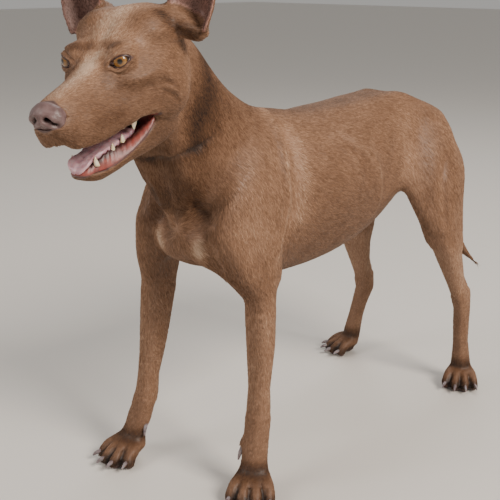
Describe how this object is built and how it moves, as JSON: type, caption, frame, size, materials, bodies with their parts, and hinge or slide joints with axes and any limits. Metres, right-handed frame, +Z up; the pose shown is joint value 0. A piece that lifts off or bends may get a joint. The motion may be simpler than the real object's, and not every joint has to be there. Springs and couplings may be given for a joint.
{
  "type": "dog",
  "caption": "Life-size standing dog with a short brown coat, pricked ears, open mouth, tongue and low tail, made as a still model in one piece.",
  "frame": {"origin": "centre of the bounding box at floor level, under the belly", "axes": "+X towards the dog's left, -Y towards its nose (the trunk runs along Y), +Z up"},
  "size_m": [0.3118, 0.848, 0.7056],
  "materials": {
    "coat": "short flat glossy hair, chocolate brown",
    "nose": "fine pebbled, slightly moist, liver brown",
    "eye": "wet clear cornea over an amber iris",
    "tongue": "wet, soft, mauve pink",
    "claw": "horn, pale grey brown"
  },
  "bodies": {
    "root": {"claw_fore_left_1": "claw", "claw_fore_left_2": "claw", "claw_fore_left_3": "claw", "claw_fore_left_4": "claw", "claw_fore_left_5": "claw", "claw_fore_right_1": "claw", "claw_fore_right_2": "claw", "claw_fore_right_3": "claw", "claw_fore_right_4": "claw", "claw_fore_right_5": "claw", "claw_hind_left_1": "claw", "claw_hind_left_2": "claw", "claw_hind_left_3": "claw", "claw_hind_left_4": "claw", "claw_hind_right_1": "claw", "claw_hind_right_2": "claw", "claw_hind_right_3": "claw", "claw_hind_right_4": "claw", "ear_left": "coat", "ear_right": "coat", "eye_left": "eye", "eye_right": "eye", "forepaw_left": "coat", "forepaw_right": "coat", "head": "coat", "hindpaw_left": "coat", "hindpaw_right": "coat", "jaw": "coat", "lower_foreleg_left": "coat", "lower_foreleg_right": "coat", "lower_hindleg_left": "coat", "lower_hindleg_right": "coat", "neck": "coat", "nose": "nose", "tail": "coat", "thigh_left": "coat", "thigh_right": "coat", "tongue": "tongue", "trunk": "coat", "upper_foreleg_left": "coat", "upper_foreleg_right": "coat"}
  },
  "joints": []
}
